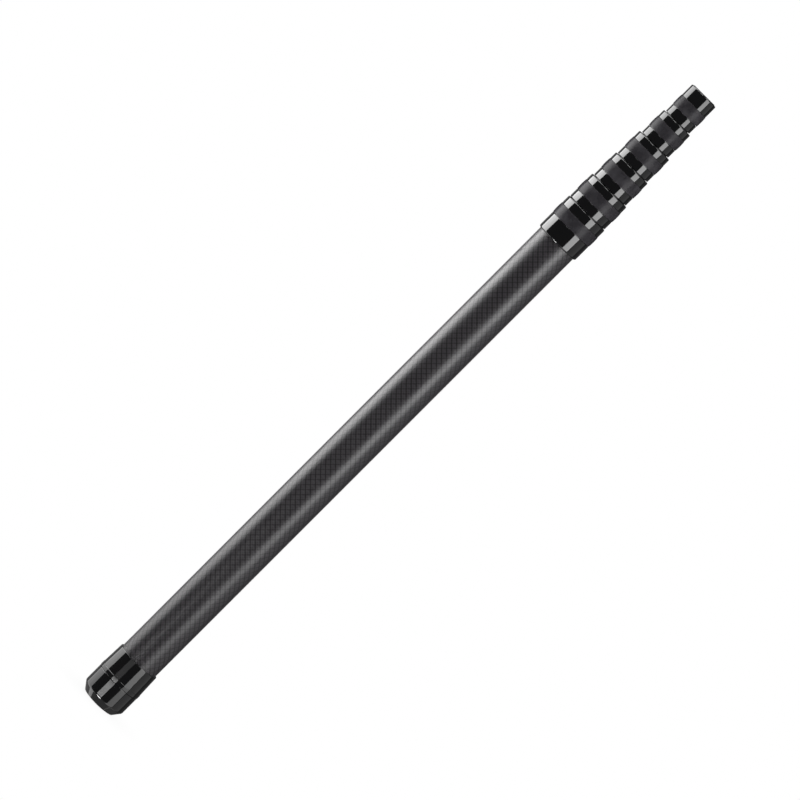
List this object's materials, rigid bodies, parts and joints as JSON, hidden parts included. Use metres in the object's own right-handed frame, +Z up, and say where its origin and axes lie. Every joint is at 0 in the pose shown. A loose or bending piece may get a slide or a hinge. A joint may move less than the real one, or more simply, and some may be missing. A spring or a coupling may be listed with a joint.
{
  "type": "telescopic survey pole",
  "caption": "Telescopic round carbon pole for a survey prism or antenna, closed: stacked twist-lock collars with rubber grips above a plain tube, and a chamfered screw-on foot.",
  "frame": {"origin": "centre of the foot's end face, where the pole stands", "axes": "+Z up the pole from the foot to the prism stud; X and Y are equal, since the pole is round"},
  "size_m": [0.0672, 0.0672, 1.1377],
  "materials": {
    "carbon_tube": "woven carbon fibre under a satin lacquer, near black",
    "gloss_black_metal": "gloss black anodised and lacquered aluminium",
    "grip_rubber": "matte dark grey, finely textured",
    "seal_rubber": "matte black",
    "collet_plastic": "natural white acetal",
    "bush_plastic": "grey filled nylon",
    "plug_metal": "turned, clear anodised",
    "steel": "stainless steel, turned"
  },
  "bodies": {
    "section_1": {"tube_1": "carbon_tube", "lock_base_1": "gloss_black_metal", "foot_ferrule": "gloss_black_metal", "foot_cap": "gloss_black_metal", "foot_seal": "seal_rubber", "foot_pad": "seal_rubber", "rest_buffer": "seal_rubber"},
    "section_2": {"tube_2": "carbon_tube", "guide_bush_2": "bush_plastic", "lock_base_2": "gloss_black_metal"},
    "section_3": {"tube_3": "carbon_tube", "guide_bush_3": "bush_plastic", "lock_base_3": "gloss_black_metal"},
    "section_4": {"tube_4": "carbon_tube", "guide_bush_4": "bush_plastic", "lock_base_4": "gloss_black_metal"},
    "section_5": {"tube_5": "carbon_tube", "guide_bush_5": "bush_plastic", "lock_base_5": "gloss_black_metal"},
    "section_6": {"tube_6": "carbon_tube", "guide_bush_6": "bush_plastic", "lock_base_6": "gloss_black_metal"},
    "section_7": {"tube_7": "carbon_tube", "guide_bush_7": "bush_plastic", "head_cap": "gloss_black_metal", "head_plug": "plug_metal", "thread_insert": "steel"},
    "collet_1": {"collet_1": "collet_plastic", "slip_ring_1": "steel"},
    "nut_1": {"lock_nut_1": "gloss_black_metal", "grip_band_1": "grip_rubber", "wiper_1": "seal_rubber"},
    "collet_2": {"collet_2": "collet_plastic", "slip_ring_2": "steel"},
    "nut_2": {"lock_nut_2": "gloss_black_metal", "grip_band_2": "grip_rubber", "wiper_2": "seal_rubber"},
    "collet_3": {"collet_3": "collet_plastic", "slip_ring_3": "steel"},
    "nut_3": {"lock_nut_3": "gloss_black_metal", "grip_band_3": "grip_rubber", "wiper_3": "seal_rubber"},
    "collet_4": {"collet_4": "collet_plastic", "slip_ring_4": "steel"},
    "nut_4": {"lock_nut_4": "gloss_black_metal", "grip_band_4": "grip_rubber", "wiper_4": "seal_rubber"},
    "collet_5": {"collet_5": "collet_plastic", "slip_ring_5": "steel"},
    "nut_5": {"lock_nut_5": "gloss_black_metal", "grip_band_5": "grip_rubber", "wiper_5": "seal_rubber"},
    "collet_6": {"collet_6": "collet_plastic", "slip_ring_6": "steel"},
    "nut_6": {"lock_nut_6": "gloss_black_metal", "grip_band_6": "grip_rubber", "wiper_6": "seal_rubber"}
  },
  "joints": [
    {"name": "section_2_slide", "type": "slide", "parent": "section_1", "child": "section_2", "axis": [0, 0, 1], "range_m": [0, 0.7712]},
    {"name": "section_3_slide", "type": "slide", "parent": "section_2", "child": "section_3", "axis": [0, 0, 1], "range_m": [0, 0.8151]},
    {"name": "section_4_slide", "type": "slide", "parent": "section_3", "child": "section_4", "axis": [0, 0, 1], "range_m": [0, 0.8569]},
    {"name": "section_5_slide", "type": "slide", "parent": "section_4", "child": "section_5", "axis": [0, 0, 1], "range_m": [0, 0.8987]},
    {"name": "section_6_slide", "type": "slide", "parent": "section_5", "child": "section_6", "axis": [0, 0, 1], "range_m": [0, 0.9405]},
    {"name": "section_7_slide", "type": "slide", "parent": "section_6", "child": "section_7", "axis": [0, 0, 1], "range_m": [0, 0.9823]},
    {"name": "collet_1_shift", "type": "slide", "parent": "section_1", "child": "collet_1", "axis": [0, 0, 1], "range_m": [0, 0.0005]},
    {"name": "nut_1_turn", "type": "hinge", "parent": "collet_1", "child": "nut_1", "pos_m": [0, 0, 0.8894], "axis": [0, 0, 1], "range_deg": [0, 120]},
    {"name": "collet_2_shift", "type": "slide", "parent": "section_2", "child": "collet_2", "axis": [0, 0, 1], "range_m": [0, 0.0005]},
    {"name": "nut_2_turn", "type": "hinge", "parent": "collet_2", "child": "nut_2", "pos_m": [0, 0, 0.9333], "axis": [0, 0, 1], "range_deg": [0, 120]},
    {"name": "collet_3_shift", "type": "slide", "parent": "section_3", "child": "collet_3", "axis": [0, 0, 1], "range_m": [0, 0.0005]},
    {"name": "nut_3_turn", "type": "hinge", "parent": "collet_3", "child": "nut_3", "pos_m": [0, 0, 0.9751], "axis": [0, 0, 1], "range_deg": [0, 120]},
    {"name": "collet_4_shift", "type": "slide", "parent": "section_4", "child": "collet_4", "axis": [0, 0, 1], "range_m": [0, 0.0005]},
    {"name": "nut_4_turn", "type": "hinge", "parent": "collet_4", "child": "nut_4", "pos_m": [0, 0, 1.0169], "axis": [0, 0, 1], "range_deg": [0, 120]},
    {"name": "collet_5_shift", "type": "slide", "parent": "section_5", "child": "collet_5", "axis": [0, 0, 1], "range_m": [0, 0.0005]},
    {"name": "nut_5_turn", "type": "hinge", "parent": "collet_5", "child": "nut_5", "pos_m": [0, 0, 1.0587], "axis": [0, 0, 1], "range_deg": [0, 120]},
    {"name": "collet_6_shift", "type": "slide", "parent": "section_6", "child": "collet_6", "axis": [0, 0, 1], "range_m": [0, 0.0005]},
    {"name": "nut_6_turn", "type": "hinge", "parent": "collet_6", "child": "nut_6", "pos_m": [0, 0, 1.1005], "axis": [0, 0, 1], "range_deg": [0, 120]}
  ],
  "couplings": [
    {"joint": "nut_1_turn", "follows": "collet_1_shift", "rad_per_m": 4188.8},
    {"joint": "nut_2_turn", "follows": "collet_2_shift", "rad_per_m": 4188.8},
    {"joint": "nut_3_turn", "follows": "collet_3_shift", "rad_per_m": 4188.8},
    {"joint": "nut_4_turn", "follows": "collet_4_shift", "rad_per_m": 4188.8},
    {"joint": "nut_5_turn", "follows": "collet_5_shift", "rad_per_m": 4188.8},
    {"joint": "nut_6_turn", "follows": "collet_6_shift", "rad_per_m": 4188.8}
  ]
}
